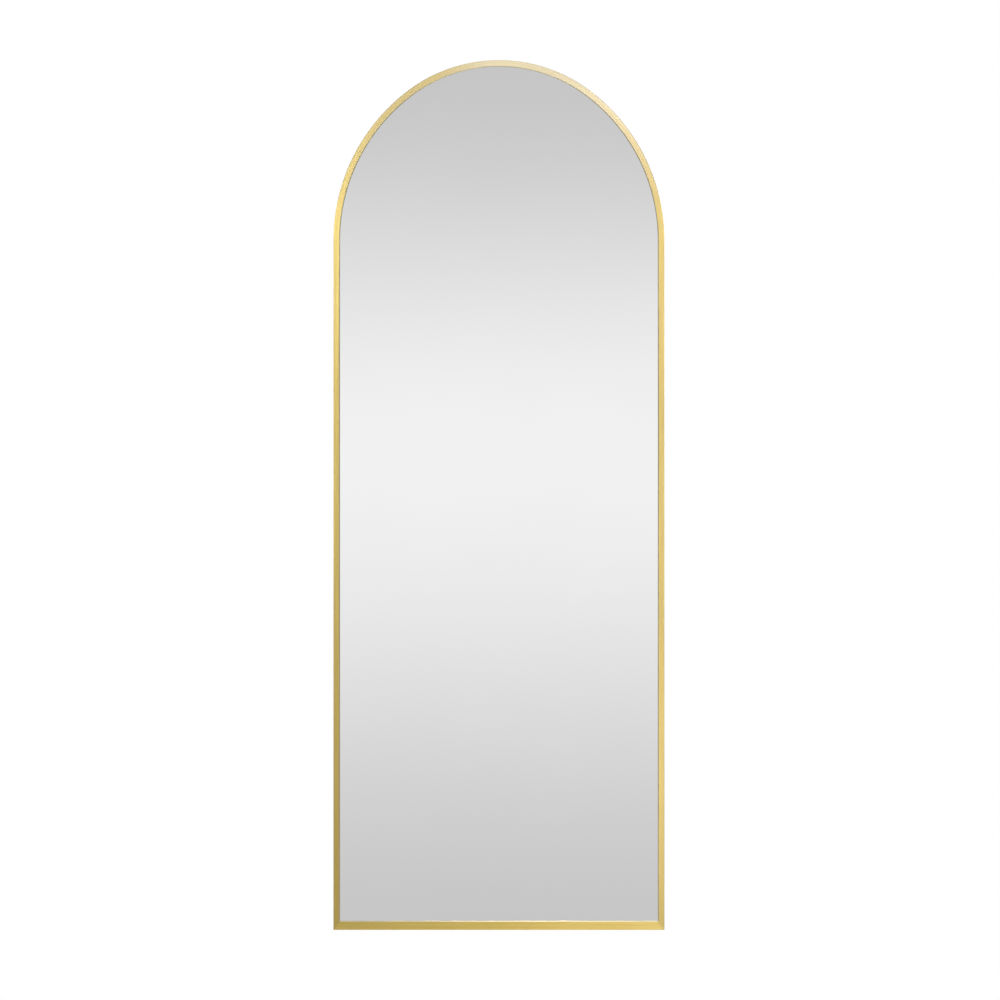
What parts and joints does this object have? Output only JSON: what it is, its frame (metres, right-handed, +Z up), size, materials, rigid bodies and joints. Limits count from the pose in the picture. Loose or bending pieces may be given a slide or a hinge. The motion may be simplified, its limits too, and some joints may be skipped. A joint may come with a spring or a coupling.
{
  "type": "over-the-door mirror",
  "caption": "Tall arched mirror in a slim gold aluminium frame, with strap hooks that slide up from behind it to hang it over a door.",
  "frame": {"origin": "midway between the two keyholes, on the back face of the upper cross bar", "axes": "+Z up along the mirror, +Y out of the back of the mirror into the wall or door, +X to the right of a person who looks into the mirror"},
  "size_m": [0.406, 0.08, 1.067],
  "materials": {
    "gold_aluminium": "satin gold anodised",
    "key_aluminium": "sawn extrusion",
    "zinc_screws": "bright zinc plated",
    "silvered_glass": "silvered float glass",
    "clear_film": "woven-backed polyethylene film",
    "white_foam": "closed-cell foam sheet",
    "hardboard": "brown hardboard",
    "spring_steel": "blued spring steel",
    "galvanised_steel": "galvanised sheet",
    "hook_steel": "white powder coat",
    "felt": "pressed felt",
    "nickel_plate": "nickel plated",
    "black_rubber": "matte rubber"
  },
  "bodies": {
    "mirror": {"arch_rail": "gold_aluminium", "left_side_rail": "gold_aluminium", "right_side_rail": "gold_aluminium", "bottom_rail": "gold_aluminium", "left_corner_key": "key_aluminium", "right_corner_key": "key_aluminium", "left_arch_joiner": "key_aluminium", "right_arch_joiner": "key_aluminium", "corner_key_screws": "zinc_screws", "joiner_screws": "zinc_screws", "mirror_glass": "silvered_glass", "safety_film": "clear_film", "foam_sheet": "white_foam", "backing_board": "hardboard", "frame_springs": "spring_steel", "upper_cross_bar": "galvanised_steel", "lower_cross_bar": "galvanised_steel", "cross_bar_screws": "zinc_screws", "left_hook_guide": "galvanised_steel", "right_hook_guide": "galvanised_steel", "guide_rivets": "zinc_screws", "clamp_nuts": "zinc_screws", "door_bumpers": "black_rubber"},
    "left_hook": {"left_door_hook": "hook_steel", "left_hook_pads": "felt"},
    "right_hook": {"right_door_hook": "hook_steel", "right_hook_pads": "felt"},
    "left_clamp": {"left_thumbscrew": "nickel_plate", "left_clamp_washer": "zinc_screws"},
    "right_clamp": {"right_thumbscrew": "nickel_plate", "right_clamp_washer": "zinc_screws"}
  },
  "joints": [
    {"name": "left_hook_slide", "type": "slide", "parent": "mirror", "child": "left_hook", "axis": [0, 0, 1], "range_m": [0, 0.165]},
    {"name": "right_hook_slide", "type": "slide", "parent": "mirror", "child": "right_hook", "axis": [0, 0, 1], "range_m": [0, 0.165]},
    {"name": "left_thumbscrew_turn", "type": "hinge", "parent": "mirror", "child": "left_clamp", "pos_m": [-0.09, 0, 0.0045], "axis": [0, 1, 0], "range_deg": [0, 450]},
    {"name": "right_thumbscrew_turn", "type": "hinge", "parent": "mirror", "child": "right_clamp", "pos_m": [0.09, 0, 0.0045], "axis": [0, 1, 0], "range_deg": [0, 450]}
  ]
}
